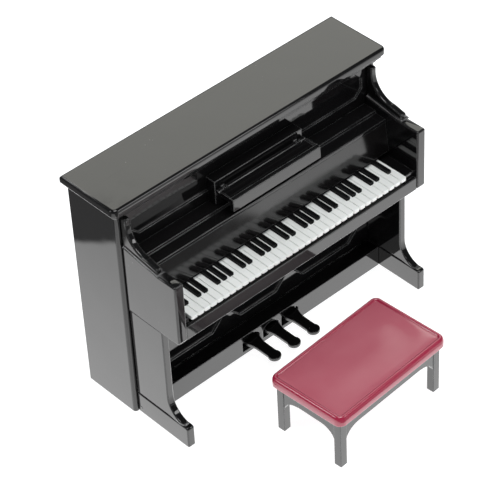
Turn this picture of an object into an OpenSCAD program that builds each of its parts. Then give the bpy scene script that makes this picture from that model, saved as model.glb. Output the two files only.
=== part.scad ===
// Dolls' house upright piano with a bench, gloss black mouldings with white keys
// and a crimson seat. +X is the player's right, the front faces -Y, +Z is up.
// The origin is the centre of the underside of the case, on the surface it stands on.

/* [Case] */
// Width of the case over its sides
case_w = 119.2; // [100:0.1:145]
// Depth of the case, back to front
case_d = 24.6; // [20:0.1:34]
// Height of the case up to the underside of the lid
case_h = 88.2; // [84:0.1:108]
// Thickness of the case sides
side_t = 2.9; // [2:0.1:3.5]
// Thickness of the back, the front panels and the bottom board
panel_t = 2.2; // [1.6:0.1:2.8]

/* [Lid] */
// How far the lid stands out past each side
lid_side_over = 2.9; // [2:0.1:5]
// How far the lid stands out past the front
lid_front_over = 3; // [2:0.1:5]
// Thickness of the lid's top slab
lid_t = 2.8; // [2:0.1:4]
// Height of each of the two mouldings under the slab
lid_step_h = 1.6; // [1:0.1:2.5]
// Radius of the lid's hinge pins
lid_pin_r = 0.5; // [0.4:0.05:0.7]

/* [Arms and legs] */
// Thickness of the key arms
cheek_t = 3.9; // [3:0.1:5]
// Reach of the key arms in front of the case
cheek_reach = 25.9; // [22:0.1:36]
// Height of the underside of the arms and the key bed
bed_z = 47.7; // [42:0.1:52]
// Height of the top of the arms
cheek_top_z = 73.4; // [71:0.1:80]
// Thickness of the leg panels
leg_t = 2.8; // [2:0.1:3.4]
// Reach of the leg panels in front of the case
leg_reach = 16.6; // [12:0.1:22]
// Thickness of the toe blocks
toe_t = 3.2; // [2.6:0.1:4]
// Reach of the toe blocks in front of the case
toe_reach = 26.2; // [22:0.1:36]
// Height of the toe blocks
toe_h = 9; // [8:0.1:12]

/* [Keyboard] */
// Distance from one white key to the next
key_pitch = 2.887; // [2.5:0.001:3.0]
// Height of the top of the white keys
key_top_z = 56.4; // [56:0.1:62]
// Visible length of the white keys
white_len = 13.7; // [11:0.1:20]
// Visible length of the black keys
black_len = 8.1; // [6:0.1:9]
// Width of the black keys
black_w = 1.7; // [1.2:0.05:1.9]
// Height of the black keys above the white ones
black_rise = 1.1; // [0.8:0.05:1.3]
// How far the keyboard sits left of the middle
keys_left = 1; // [0:0.1:2]

/* [Pedals] */
// Distance from one pedal to the next
pedal_pitch = 9.5; // [8.6:0.1:12]
// Radius of the round end of a pedal
pedal_end_r = 2.5; // [2:0.1:3]
// Thickness of a pedal
pedal_t = 1.4; // [1:0.1:1.6]
// Reach of a pedal in front of the plinth
pedal_reach = 14.5; // [10:0.1:18]
// Radius of the pedal axle
pedal_pin_r = 0.6; // [0.5:0.05:0.8]

/* [Music desk] */
// Width of the music desk
desk_w = 40.4; // [30:0.1:60]
// Depth of the folding shelf from its hinge to its front
desk_d = 8.2; // [6.5:0.1:8.8]
// Height of the front lip
lip_h = 5; // [4:0.1:5.6]
// Radius of the desk's hinge pin
desk_pin_r = 0.4; // [0.3:0.05:0.5]

/* [Bench] */
// Length of the seat
bench_w = 55; // [44:0.1:72]
// Depth of the seat
bench_d = 33; // [26:0.1:42]
// Height of the seat
bench_h = 24.8; // [21:0.1:34]
// Thickness of the seat
seat_t = 3.9; // [3:0.1:5]
// Width of a leg
bench_leg = 3.1; // [2.8:0.1:4.5]
// Gap between the key arms and the bench
bench_gap = 11.2; // [9:0.1:40]
// How far the bench is turned from square to the piano
bench_turn = 3.5; // [0:0.1:5]

/* [Hidden] */
$fn = 48;
eps = 0.01;

gloss_black = [0.05, 0.05, 0.055];
key_white = [0.88, 0.89, 0.88];
pin_grey = [0.6, 0.6, 0.62];
seat_red = [0.62, 0.1, 0.2];

run_fit = 0.05;      // radial running clearance round a hinge pin
lid_clear = 0.2;     // gap between the case and the lid resting over it

// Case
back_y = case_d / 2;
front_y = -case_d / 2;
side_x = case_w / 2;
side_in_x = side_x - side_t;
side_bead_r = 1.2;   // rounding of the sides' front edges

// Lid
lid_z = case_h + lid_clear;
lid_top_z = lid_z + 2 * lid_step_h + lid_t;
lid_x = side_x + lid_side_over;
lid_front_y = front_y - lid_front_over;
lid_wall = 3.4;
lid_corner_r = 1.6;
lid_edge = 0.8;      // rounding of the slab's top edge
hinge_off = 1.3;     // hinge axis in from the back face and down from the case's top
lid_pin_y = back_y - hinge_off;
lid_pin_z = case_h - hinge_off;
ear_r = 1.2;
ear_w = 4;
ear_gap = 0.4;       // gap between an ear and what is beside it
lid_pin_sunk = 1.5;  // length of pin held in the case side
lid_pin_len = lid_pin_sunk + ear_w + 2 * ear_gap + 1.2;

// Arms, legs and toes, all set in a little from the faces of the sides
cheek_x = side_x - 1.4;
cheek_in_x = cheek_x - cheek_t;
cheek_front_y = front_y - cheek_reach;
leg_x = side_x - 1.8;
leg_in_x = leg_x - leg_t;
leg_front_y = front_y - leg_reach;
toe_x = side_x - 1.6;
toe_in_x = toe_x - toe_t;
toe_front_y = front_y - toe_reach;
cheek_round_r = 1.5;
scroll_t = 2.6;      // thickness of the curved upper part of an arm
scroll_x = cheek_x - 0.3;
step_y = front_y - cheek_reach + 8.9;
step_h = 2.1;
scroll_top_y = front_y - 2.4;
scroll_rise = 1.2;   // fall of the straight run between the curve and the step

// Keyboard
white_count = 35;
white_w = white_count * key_pitch;
keys_x0 = -white_w / 2 - keys_left;
keys_x1 = keys_x0 + white_w;
white_front_y = cheek_front_y + 0.6;
white_back_y = white_front_y + white_len;
black_front_y = white_back_y - black_len;
white_t = 1.4;
groove_w = 0.25;
groove_d = 0.5;
hidden_key = 2.6;    // length of the keys that runs in under the fallboard
frame_set_in = 2;    // how far the white keys overhang their frame
slip_t = 1.7;
slip_top_z = key_top_z - 2.8;
slip_front_y = cheek_front_y + 0.2;
bed_t = 2.3;
bed_top_z = bed_z + bed_t;
block_gap = 0.3;
// White keys that have a black one at their right, counted up from A as 0
black_after = [0, 2, 3, 5, 6];
octave = 7;

// Ledge and fallboard
ledge_back_z = cheek_top_z - 0.7;
ledge_front_z = cheek_top_z - 1.9;
ledge_under_z = cheek_top_z - 3.4;
ledge_step_y = front_y - 5.7;
ledge_front_y = front_y - 10.6;
fall_top_y = ledge_front_y + 0.3;
fall_bottom_y = white_back_y - 0.5;
fall_z = key_top_z + black_rise + 0.5;
fall_t = 2;

// Upper panel and its sunk field, which runs behind the music desk
panel_front_y = front_y + 0.2;
field_d = 0.8;
field_z0 = ledge_back_z + 4.1;
field_z1 = case_h - 1.2;
field_corner = 3;
field_x = scroll_x - scroll_t - 2.2;

// Lower panel
lower_front_y = front_y + 0.1;
lower_field_z0 = toe_h + 3.7;
lower_field_z1 = bed_z - 4;
lower_corner = 5;
lower_centre_x = 1.5 * pedal_pitch - 0.7;
lower_rail_w = 3.5;  // upright between two fields
lower_edge_w = 5;    // upright beside each leg

// Plinth, pedals and their axle
plinth_h = toe_h - 0.2;
plinth_reach = 5.8;
plinth_front_y = front_y - plinth_reach;
plinth_t = 1.8;
plinth_top_t = 0.9;
arch_w = pedal_pitch - 1.2;
arch_z0 = 1.8;
arch_z1 = 7.8;
pedal_top_z = 6;
pedal_pin_y = front_y - 1.5;
pedal_pin_z = pedal_top_z - pedal_t - 0.2;
pedal_barrel_r = 1.4;
pedal_end_y = plinth_front_y - pedal_reach + pedal_end_r;
pedal_root_w = 6.4;
pedal_neck_w = 4.2;
pedal_gap = 0.4;
tail_len = 3.6;
lug_w = 1.1;

// Music desk
desk_x = desk_w / 2;
desk_right = 0.3;    // the desk sits a little right of the middle
rail_d = 3.8;
rail_front_y = panel_front_y - rail_d;
rail_top_z = ledge_back_z + 9.8;
desk_barrel_r = 0.9;
desk_pin_y = rail_front_y - 1;
desk_pin_z = rail_top_z - 3.8;
desk_lug_w = 1.2;
desk_lug_x = desk_x - 4;
desk_gap = 0.25;
desk_t = 1.2;
desk_top_z = desk_pin_z + 0.4;
desk_front_y = desk_pin_y - desk_d;
lip_t = 1.9;
lip_top_z = desk_pin_z + 1.2;
lip_round_r = 0.5;
rim_w = 0.8;
rim_z = desk_pin_z + 1.1;

// Bench
bench_x = -3.1;
bench_y = cheek_front_y - bench_gap - bench_d / 2;
frame_in = 1.9;      // how far the frame is set in under the seat
apron_t = 1.8;
apron_h = 5.4;
bracket_w = 6.5;
bracket_h = 5.2;
seat_z = bench_h - seat_t;
seat_corner_r = 3;
bead_r = 0.9;        // round bead along the seat's top edge
bead_proud = 0.2;    // how far the bead stands out past the seat's sides
top_sunk = 0.4;      // how far the seat's top lies below its bead
peg_r = 1.1;
peg_len = 3;

// A box between two corners
module slab(low, high) {
    translate(low) cube(high - low);
}

// A profile drawn in Y and Z, extruded from x0 to x1
module along_x(x0, x1) {
    translate([x0, 0, 0]) rotate([90, 0, 90]) linear_extrude(x1 - x0) children();
}

// A round bar along X
module bar_x(x0, x1, y, z, r) {
    translate([x0, y, z]) rotate([0, 90, 0]) cylinder(h = x1 - x0, r = r);
}

// A rectangle with one radius at its low Y corners and another at its high Y corners
module soft_rect(x0, x1, y0, y1, r_low, r_high) {
    translate([x0 + r_low, y0]) square([x1 - x0 - 2 * r_low, y1 - y0 - r_high]);
    translate([x0 + r_high, y0 + r_low]) square([x1 - x0 - 2 * r_high, y1 - y0 - r_low]);
    translate([x0, y0 + r_low]) square([x1 - x0, y1 - y0 - r_low - r_high]);
    for (x = [x0 + r_low, x1 - r_low]) translate([x, y0 + r_low]) circle(r_low);
    for (x = [x0 + r_high, x1 - r_high]) translate([x, y1 - r_high]) circle(r_high);
}

// A rectangle with its corners cut off, for the sunk fields of the panels
module field(x0, x1, z0, z1, cut_low, cut_high) {
    polygon([
        [x0 + cut_low, z0], [x1 - cut_low, z0], [x1, z0 + cut_low], [x1, z1 - cut_high],
        [x1 - cut_high, z1], [x0 + cut_high, z1], [x0, z1 - cut_high], [x0, z0 + cut_low]
    ]);
}

// A field cut into a panel whose front face is at y
module sunk(y) {
    translate([0, y + field_d, 0]) rotate([90, 0, 0]) linear_extrude(field_d + 1) children();
}

// The case side on the left, with its blind hole for the lid's hinge pin
module side_panel() {
    difference() {
        intersection() {
            linear_extrude(case_h)
                soft_rect(-side_x, -side_in_x, front_y, back_y, side_bead_r, eps);
            along_x(-side_x - 1, -side_in_x + 1) {
                translate([front_y, 0]) square([case_d - hinge_off, case_h]);
                translate([front_y, 0]) square([case_d, case_h - hinge_off]);
                translate([lid_pin_y, lid_pin_z]) circle(hinge_off);
            }
        }
        bar_x(-side_in_x - lid_pin_sunk, -side_in_x + 1, lid_pin_y, lid_pin_z, lid_pin_r);
    }
}

module left_side() {
    color(gloss_black) side_panel();
}

module right_side() {
    color(gloss_black) mirror([1, 0, 0]) side_panel();
}

// The back fills the case between the sides and is notched for the lid's ears
module back_panel() {
    notch_w = ear_w + 2 * ear_gap;
    notch_r = ear_r + ear_gap;
    color(gloss_black) difference() {
        along_x(-side_in_x, side_in_x) {
            translate([back_y - panel_t, 0]) square([panel_t, case_h - hinge_off]);
            translate([back_y - panel_t, 0]) square([panel_t - hinge_off, case_h]);
            translate([lid_pin_y, lid_pin_z]) circle(hinge_off);
        }
        for (m = [0, 1]) mirror([m, 0, 0])
            slab([side_in_x - notch_w, back_y - 2 * panel_t, lid_pin_z - notch_r],
                 [side_in_x + 1, back_y + 1, case_h + 1]);
        for (m = [0, 1]) mirror([m, 0, 0])
            bar_x(side_in_x - lid_pin_len + lid_pin_sunk, side_in_x + 1,
                  lid_pin_y, lid_pin_z, lid_pin_r);
    }
}

module bottom_board() {
    color(gloss_black)
        slab([-side_in_x, front_y, 0], [side_in_x, back_y - panel_t, panel_t]);
}

// The front below the key bed, with three sunk fields
module lower_panel() {
    color(gloss_black) difference() {
        slab([-side_in_x, lower_front_y, plinth_h], [side_in_x, lower_front_y + panel_t, bed_z]);
        sunk(lower_front_y) {
            field(-lower_centre_x, lower_centre_x, lower_field_z0, lower_field_z1,
                  lower_corner, lower_corner);
            for (m = [0, 1]) mirror([m, 0])
                field(lower_centre_x + lower_rail_w, leg_in_x - lower_edge_w,
                      lower_field_z0, lower_field_z1, lower_corner, lower_corner);
        }
    }
}

// The front above the key bed: hidden behind the keyboard, panelled above the ledge
module upper_panel() {
    color(gloss_black) difference() {
        slab([-side_in_x, panel_front_y, bed_z], [side_in_x, panel_front_y + panel_t, case_h]);
        sunk(panel_front_y)
            field(-field_x, field_x, field_z0, field_z1, field_corner, field_corner);
    }
}

// One moulding of the lid's edge, in from the slab by the given amount and hollow
module lid_ring(inset, z0, h) {
    x = lid_x - inset;
    y0 = lid_front_y + inset;
    translate([0, 0, z0]) linear_extrude(h) difference() {
        soft_rect(-x, x, y0, back_y, lid_corner_r, eps);
        translate([-side_x + lid_wall, front_y + lid_wall])
            square([2 * (side_x - lid_wall), case_d - 2 * lid_wall]);
    }
}

// The lid: a slab with a rounded top edge over two stepped mouldings, and two ears
// at the back that turn on the hinge pins
module lid() {
    slab_z = lid_z + 2 * lid_step_h;
    inner_h = 0.8 * lid_t;
    color(gloss_black) difference() {
        union() {
            hull() {
                translate([0, 0, slab_z]) linear_extrude(lid_t - lid_edge)
                    soft_rect(-lid_x, lid_x, lid_front_y, back_y, lid_corner_r, eps);
                translate([0, 0, lid_top_z - eps]) linear_extrude(eps)
                    soft_rect(-lid_x + lid_edge, lid_x - lid_edge, lid_front_y + lid_edge,
                              back_y - lid_edge / 2, lid_corner_r - lid_edge / 2, eps);
            }
            lid_ring(lid_side_over * 0.35, lid_z + lid_step_h, lid_step_h);
            lid_ring(lid_side_over * 0.8, lid_z, lid_step_h);
            for (s = [-1, 1]) {
                x0 = s > 0 ? side_in_x - ear_gap - ear_w : -side_in_x + ear_gap;
                bar_x(x0, x0 + ear_w, lid_pin_y, lid_pin_z, ear_r);
                slab([x0, lid_pin_y - ear_r, lid_pin_z],
                     [x0 + ear_w, lid_pin_y + ear_r, slab_z]);
            }
        }
        bar_x(-side_in_x, side_in_x, lid_pin_y, lid_pin_z, lid_pin_r + run_fit);
    }
}

module lid_pins() {
    color(pin_grey) for (m = [0, 1]) mirror([m, 0, 0])
        bar_x(side_in_x - lid_pin_len + lid_pin_sunk, side_in_x + lid_pin_sunk,
              lid_pin_y, lid_pin_z, lid_pin_r);
}

// One pedal arch: straight sides under a half ellipse
module arch() {
    spring_z = arch_z1 - arch_w / 3;
    translate([-arch_w / 2, arch_z0]) square([arch_w, spring_z - arch_z0]);
    intersection() {
        translate([-arch_w / 2, spring_z]) square([arch_w, arch_z1 - spring_z]);
        translate([0, arch_z1 - arch_w * 0.62]) circle(arch_w * 0.62);
    }
}

// The plinth: a front board with three arches for the pedals, and a thin top
module plinth() {
    color(gloss_black) difference() {
        union() {
            slab([-toe_in_x, plinth_front_y, 0], [toe_in_x, plinth_front_y + plinth_t, plinth_h]);
            slab([-toe_in_x, plinth_front_y, plinth_h - plinth_top_t],
                 [toe_in_x, front_y, plinth_h]);
        }
        translate([0, plinth_front_y + plinth_t + 1, 0]) rotate([90, 0, 0])
            linear_extrude(plinth_t + 2)
                for (i = [-1:1]) translate([i * pedal_pitch, 0]) arch();
    }
}

// A toe block lies on the floor in front of each side
module toe_block() {
    nose_r = 1;
    color(gloss_black) along_x(-toe_x, -toe_in_x) {
        translate([toe_front_y, 0]) square([toe_reach, toe_h - nose_r]);
        translate([toe_front_y + nose_r, 0]) square([toe_reach - nose_r, toe_h]);
        translate([toe_front_y + nose_r, toe_h - nose_r]) circle(nose_r);
    }
}

module left_toe() {
    toe_block();
}

module right_toe() {
    mirror([1, 0, 0]) toe_block();
}

// A leg panel stands on a toe block and sweeps forward to its nose
module leg_panel() {
    sweep_r = toe_reach - leg_reach - 1.2;
    sweep_y = leg_front_y - sweep_r;
    sweep_z = toe_h + sweep_r;
    color(gloss_black) along_x(-leg_x, -leg_in_x) {
        translate([leg_front_y, toe_h]) square([leg_reach, bed_z - toe_h]);
        difference() {
            translate([sweep_y, toe_h]) square([sweep_r + eps, sweep_r]);
            translate([sweep_y, sweep_z]) circle(sweep_r);
        }
    }
}

module left_leg() {
    leg_panel();
}

module right_leg() {
    mirror([1, 0, 0]) leg_panel();
}

// A key arm: a thick block beside the keys under a thinner scroll that sweeps up
// to the underside of the lid
module cheek() {
    r = cheek_round_r;
    step_z = cheek_top_z + step_h;
    bend_r = scroll_top_y - step_y - 5.3;
    bend_y = scroll_top_y - bend_r;
    bend_z = step_z + scroll_rise + bend_r;
    color(gloss_black) {
        along_x(-cheek_x, -cheek_in_x) {
            translate([cheek_front_y, bed_z + r]) square([cheek_reach, cheek_top_z - bed_z - r]);
            translate([cheek_front_y + r, bed_z]) square([cheek_reach - r, r + eps]);
            translate([cheek_front_y + r, bed_z + r]) circle(r);
            polygon([[step_y, cheek_top_z - eps], [front_y, cheek_top_z - eps],
                     [front_y, cheek_top_z + step_h + 0.7]]);
        }
        along_x(-scroll_x, -scroll_x + scroll_t) difference() {
            polygon([[step_y, cheek_top_z - 1], [front_y, cheek_top_z - 1], [front_y, case_h],
                     [scroll_top_y, case_h], [scroll_top_y, bend_z], [bend_y, bend_z],
                     [bend_y, step_z + scroll_rise], [step_y, step_z]]);
            translate([bend_y, bend_z]) circle(bend_r);
        }
    }
}

module left_cheek() {
    cheek();
}

module right_cheek() {
    mirror([1, 0, 0]) cheek();
}

module key_bed() {
    color(gloss_black)
        slab([-cheek_in_x, slip_front_y + slip_t, bed_z], [cheek_in_x, panel_front_y, bed_top_z]);
}

// The rail in front of the keys, with its top and bottom edges rounded
module key_slip() {
    r = 0.6;
    color(gloss_black) along_x(-cheek_in_x, cheek_in_x) {
        translate([slip_front_y, bed_z + r]) square([slip_t, slip_top_z - bed_z - 2 * r]);
        translate([slip_front_y + r, bed_z]) square([slip_t - r, slip_top_z - bed_z]);
        for (z = [bed_z + r, slip_top_z - r]) translate([slip_front_y + r, z]) circle(r);
    }
}

// The block that carries the two key mouldings
module key_frame() {
    color(gloss_black)
        slab([keys_x0, white_front_y + frame_set_in, bed_top_z],
             [keys_x1, white_back_y + hidden_key, key_top_z - white_t]);
}

// The white keys are one moulding with a groove between each pair of keys
module white_keys() {
    color(key_white) difference() {
        slab([keys_x0, white_front_y, key_top_z - white_t],
             [keys_x1, white_back_y + hidden_key, key_top_z]);
        for (i = [1:white_count - 1])
            translate([keys_x0 + i * key_pitch - groove_w / 2, 0, 0]) {
                slab([0, white_front_y - 1, key_top_z - groove_d],
                     [groove_w, white_back_y, key_top_z + 1]);
                slab([0, white_front_y - 1, key_top_z - white_t - 1],
                     [groove_w, white_front_y + groove_d, key_top_z + 1]);
            }
    }
}

// The black keys are one moulding joined by a strip under the fallboard
module black_keys() {
    color(gloss_black) {
        slab([keys_x0, white_back_y + 0.4, key_top_z],
             [keys_x1, white_back_y + hidden_key, key_top_z + black_rise]);
        for (i = [0:white_count - 2])
            if (len(search((i % octave), black_after)) > 0)
                translate([keys_x0 + (i + 1) * key_pitch, 0, 0])
                    slab([-black_w / 2, black_front_y, key_top_z],
                         [black_w / 2, white_back_y + hidden_key, key_top_z + black_rise]);
    }
}

module left_key_block() {
    color(gloss_black)
        slab([-cheek_in_x, slip_front_y + slip_t, bed_top_z],
             [keys_x0 - block_gap, white_back_y + hidden_key, key_top_z - 0.8]);
}

module right_key_block() {
    color(gloss_black)
        slab([keys_x1 + block_gap, slip_front_y + slip_t, bed_top_z],
             [cheek_in_x, white_back_y + hidden_key, key_top_z - 0.8]);
}

// The fallboard leans back a little behind the keys
module fallboard() {
    color(gloss_black) along_x(-cheek_in_x, cheek_in_x)
        polygon([[fall_bottom_y, fall_z], [fall_bottom_y + fall_t, fall_z],
                 [fall_top_y + fall_t, ledge_under_z], [fall_top_y, ledge_under_z]]);
}

// The stepped ledge that closes the key well under the upper panel
module ledge() {
    r = 0.5;
    color(gloss_black) along_x(-cheek_in_x, cheek_in_x) {
        translate([ledge_step_y + r, ledge_under_z])
            square([panel_front_y - ledge_step_y - r, ledge_back_z - ledge_under_z]);
        translate([ledge_step_y, ledge_under_z])
            square([r + eps, ledge_back_z - r - ledge_under_z]);
        translate([ledge_step_y + r, ledge_back_z - r]) circle(r);
        translate([ledge_front_y + r, ledge_under_z])
            square([ledge_step_y - ledge_front_y, ledge_front_z - ledge_under_z]);
        translate([ledge_front_y, ledge_under_z])
            square([r + eps, ledge_front_z - r - ledge_under_z]);
        translate([ledge_front_y + r, ledge_front_z - r]) circle(r);
    }
}

// The fixed block in front of the upper panel's middle field, with two lugs that
// hold the desk's pin
module desk_rail() {
    lug_h = 0.8 * desk_barrel_r;
    color(gloss_black) translate([desk_right, 0, 0]) difference() {
        union() {
            slab([-desk_x, rail_front_y, ledge_back_z], [desk_x, panel_front_y, rail_top_z]);
            slab([-desk_x, panel_front_y - eps, field_z0], [desk_x, panel_front_y + field_d, rail_top_z]);
            for (x = [-desk_lug_x - desk_lug_w, desk_lug_x]) {
                bar_x(x, x + desk_lug_w, desk_pin_y, desk_pin_z, desk_barrel_r);
                slab([x, desk_pin_y, desk_pin_z - lug_h],
                     [x + desk_lug_w, rail_front_y + eps, desk_pin_z + lug_h]);
            }
        }
        bar_x(-desk_x - 1, desk_x + 1, desk_pin_y, desk_pin_z, desk_pin_r);
    }
}

module desk_pin() {
    color(pin_grey) translate([desk_right, 0, 0])
        bar_x(-desk_x + 0.5, desk_x - 0.5, desk_pin_y, desk_pin_z, desk_pin_r);
}

// The folding shelf of the music desk: a deep lip at its front, a low rim at each end,
// and a barrel along its back with a gap for each lug
module music_desk() {
    r = lip_round_r;
    lip_z0 = lip_top_z - lip_h;
    back_of_lip = desk_front_y + lip_t;
    clear_r = desk_barrel_r + desk_gap;
    color(gloss_black) translate([desk_right, 0, 0]) difference() {
        union() {
            bar_x(-desk_x, desk_x, desk_pin_y, desk_pin_z, desk_barrel_r);
            slab([-desk_x, back_of_lip - eps, desk_top_z - desk_t], [desk_x, desk_pin_y, desk_top_z]);
            for (x = [-desk_x, desk_x - rim_w])
                slab([x, back_of_lip - eps, desk_top_z - eps],
                     [x + rim_w, desk_pin_y - 1.4, rim_z]);
            along_x(-desk_x, desk_x) {
                translate([desk_front_y, lip_z0]) square([lip_t, lip_h - r]);
                translate([desk_front_y + r, lip_z0]) square([lip_t - r, lip_h]);
                translate([desk_front_y + r, lip_top_z - r]) circle(r);
            }
        }
        for (x = [-desk_lug_x - desk_lug_w, desk_lug_x])
            slab([x - desk_gap, desk_pin_y - clear_r, desk_pin_z - clear_r],
                 [x + desk_lug_w + desk_gap, desk_pin_y + clear_r, desk_pin_z + clear_r]);
        bar_x(-desk_x - 1, desk_x + 1, desk_pin_y, desk_pin_z, desk_pin_r + run_fit);
    }
}

// Four lugs on a foot carry the pedal axle behind the plinth
module pedal_bracket() {
    half = 1.5 * pedal_pitch;
    foot_y0 = plinth_front_y + plinth_t;
    color(gloss_black) difference() {
        union() {
            slab([-half - lug_w / 2, foot_y0, 0], [half + lug_w / 2, front_y, 1]);
            for (i = [-1.5:1:1.5]) translate([i * pedal_pitch - lug_w / 2, 0, 0]) {
                bar_x(0, lug_w, pedal_pin_y, pedal_pin_z, pedal_barrel_r);
                slab([0, pedal_pin_y - pedal_barrel_r, 0],
                     [lug_w, pedal_pin_y + pedal_barrel_r, pedal_pin_z]);
            }
        }
        bar_x(-half - lug_w, half + lug_w, pedal_pin_y, pedal_pin_z, pedal_pin_r);
    }
}

module pedal_pin() {
    half = 1.5 * pedal_pitch + lug_w / 2;
    color(pin_grey) bar_x(-half, half, pedal_pin_y, pedal_pin_z, pedal_pin_r);
}

// A pedal seen from above: wide at its root, hollow along its sides, round at its end
module pedal_outline() {
    wide_y = plinth_front_y - 1;
    hollow_l = 0.42 * (wide_y - pedal_end_y);
    hollow_in = (pedal_root_w - pedal_neck_w) / 2;
    hollow_r = (hollow_l * hollow_l + hollow_in * hollow_in) / (2 * hollow_in);
    neck_y = wide_y - hollow_l;
    translate([-pedal_neck_w / 2, pedal_end_y])
        square([pedal_neck_w, neck_y - pedal_end_y + eps]);
    difference() {
        translate([-pedal_root_w / 2, neck_y]) square([pedal_root_w, pedal_pin_y - neck_y]);
        for (s = [-1, 1])
            translate([s * (pedal_neck_w / 2 + hollow_r), neck_y]) circle(hollow_r, $fn = 96);
    }
    translate([0, pedal_end_y]) circle(pedal_end_r);
}

// One pedal, with the barrel that turns on the axle and its short tail
module pedal(place) {
    barrel_w = pedal_pitch - lug_w - 2 * pedal_gap;
    color(gloss_black) translate([place * pedal_pitch, 0, 0]) difference() {
        union() {
            translate([0, 0, pedal_top_z - pedal_t]) linear_extrude(pedal_t) pedal_outline();
            bar_x(-barrel_w / 2, barrel_w / 2, pedal_pin_y, pedal_pin_z, pedal_barrel_r);
            slab([-pedal_neck_w / 2, pedal_pin_y, pedal_pin_z - 0.6],
                 [pedal_neck_w / 2, pedal_pin_y + tail_len, pedal_pin_z + 0.6]);
        }
        bar_x(-pedal_pitch, pedal_pitch, pedal_pin_y, pedal_pin_z, pedal_pin_r + run_fit);
    }
}

module pedal_left() {
    pedal(-1);
}

module pedal_centre() {
    pedal(0);
}

module pedal_right() {
    pedal(1);
}

// Sets what is drawn round the bench's own middle where the bench stands
module at_bench() {
    translate([bench_x, bench_y, 0]) rotate([0, 0, bench_turn]) children();
}

// One apron, drawn in its own width and height, with a hollow bracket at each leg
module apron(span) {
    low_z = seat_z - apron_h;
    difference() {
        translate([-span / 2, low_z - bracket_h]) square([span, apron_h + bracket_h]);
        translate([-span / 2 + bracket_w, low_z - bracket_h - 1])
            square([span - 2 * bracket_w, bracket_h + 1]);
        for (s = [-1, 1]) intersection() {
            translate([s * (span / 2 - bracket_w), low_z - bracket_h]) scale([1, bracket_h / bracket_w])
                circle(bracket_w);
            translate([-span / 2, low_z - bracket_h - 1]) square([span, bracket_h + 1]);
        }
    }
}

// The black bench frame: four square legs joined by bracketed aprons
module bench_frame() {
    half_x = bench_w / 2 - frame_in;
    half_y = bench_d / 2 - frame_in;
    color(gloss_black) at_bench() difference() {
        union() {
            for (x = [-half_x, half_x - bench_leg], y = [-half_y, half_y - bench_leg])
                slab([x, y, 0], [x + bench_leg, y + bench_leg, seat_z]);
            for (y = [-half_y + 0.3, half_y - 0.3 - apron_t])
                translate([0, y + apron_t, 0]) rotate([90, 0, 0]) linear_extrude(apron_t)
                    apron(2 * half_x - 2 * bench_leg + eps);
            for (x = [-half_x + 0.3, half_x - 0.3 - apron_t])
                along_x(x, x + apron_t) apron(2 * half_y - 2 * bench_leg + eps);
        }
        for (x = [-1, 1], y = [-1, 1])
            translate([x * (half_x - bench_leg / 2), y * (half_y - bench_leg / 2), seat_z - peg_len])
                cylinder(h = peg_len + 1, r = peg_r);
    }
}

// The bead of the seat: four straight bars joined by four quarter rings
module seat_bead(x, y, z) {
    path_r = seat_corner_r - bead_r;
    for (s = [-1, 1]) {
        bar_x(-x + seat_corner_r, x - seat_corner_r, s * (y - bead_r), z, bead_r);
        translate([s * (x - bead_r), -y + seat_corner_r, z]) rotate([-90, 0, 0])
            cylinder(h = 2 * y - 2 * seat_corner_r, r = bead_r);
    }
    for (c = [[1, 1, 0], [-1, 1, 90], [-1, -1, 180], [1, -1, 270]])
        translate([c[0] * (x - seat_corner_r), c[1] * (y - seat_corner_r), z])
            rotate([0, 0, c[2]]) rotate_extrude(angle = 90)
                translate([path_r, 0]) circle(bead_r);
}

// The crimson seat: a slab with a round bead along its top edge, a top sunk a little
// inside the bead, and four pegs that sit in the legs
module bench_seat() {
    x = bench_w / 2;
    y = bench_d / 2;
    side_r = seat_corner_r - bead_proud;
    top_r = seat_corner_r - bead_r;
    bead_z = bench_h - bead_r;
    color(seat_red) at_bench() {
        translate([0, 0, seat_z]) linear_extrude(bead_z - seat_z)
            soft_rect(-x + bead_proud, x - bead_proud, -y + bead_proud, y - bead_proud,
                      side_r, side_r);
        translate([0, 0, seat_z + eps]) linear_extrude(seat_t - top_sunk - eps)
            soft_rect(-x + bead_r, x - bead_r, -y + bead_r, y - bead_r, top_r, top_r);
        seat_bead(x, y, bead_z);
        for (sx = [-1, 1], sy = [-1, 1])
            translate([sx * (x - frame_in - bench_leg / 2), sy * (y - frame_in - bench_leg / 2),
                       seat_z - peg_len])
                cylinder(h = peg_len + eps, r = peg_r);
    }
}

left_side();
right_side();
back_panel();
bottom_board();
lower_panel();
upper_panel();
lid();
lid_pins();
plinth();
left_toe();
right_toe();
left_leg();
right_leg();
left_cheek();
right_cheek();
key_bed();
key_slip();
key_frame();
white_keys();
black_keys();
left_key_block();
right_key_block();
fallboard();
ledge();
desk_rail();
desk_pin();
music_desk();
pedal_bracket();
pedal_pin();
pedal_left();
pedal_centre();
pedal_right();
bench_frame();
bench_seat();
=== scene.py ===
import math

import bmesh
import bpy
from mathutils import Matrix, Vector


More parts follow.
